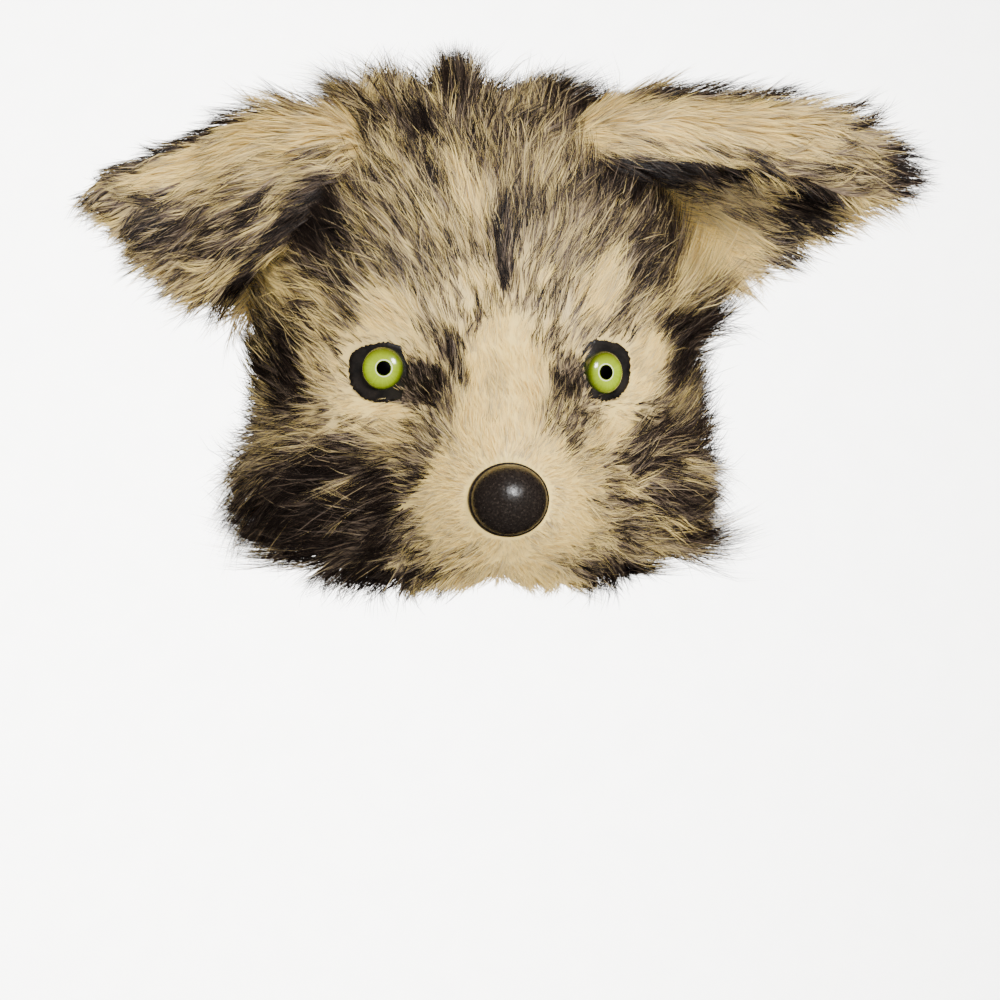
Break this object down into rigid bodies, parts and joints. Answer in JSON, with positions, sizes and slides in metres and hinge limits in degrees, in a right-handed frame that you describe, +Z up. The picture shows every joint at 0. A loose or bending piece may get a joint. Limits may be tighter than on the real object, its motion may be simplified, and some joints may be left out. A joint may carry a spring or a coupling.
{
  "type": "werewolf mask",
  "caption": "Hollow werewolf half mask of long-pile cream and black fur with folded ears, lime green domed eyes, a black nose and an elastic that holds it on the head.",
  "frame": {"origin": "inside the crown, where the top of the wearer's head seats", "axes": "+Z up, the face looks along -Y, +X to the right as seen from the front (the wearer's left)"},
  "size_m": [0.3931, 0.2959, 0.2536],
  "materials": {
    "backing_cloth": "matt knitted backing of fur fabric",
    "fur": "long silky pile, cream with dark brown and black tips",
    "eye_patch": "smooth black leatherette",
    "eye": "glossy lime green with a black pupil",
    "nose": "glossy, faintly pebbled",
    "elastic": "woven black elastic"
  },
  "bodies": {
    "root": {"face_backing": "backing_cloth", "face_fur": "fur", "ear_left": "fur", "ear_right": "fur", "eye_patch_left": "eye_patch", "eye_patch_right": "eye_patch", "eye_left": "eye", "eye_right": "eye", "nose": "nose", "head_strap": "elastic"}
  },
  "joints": []
}
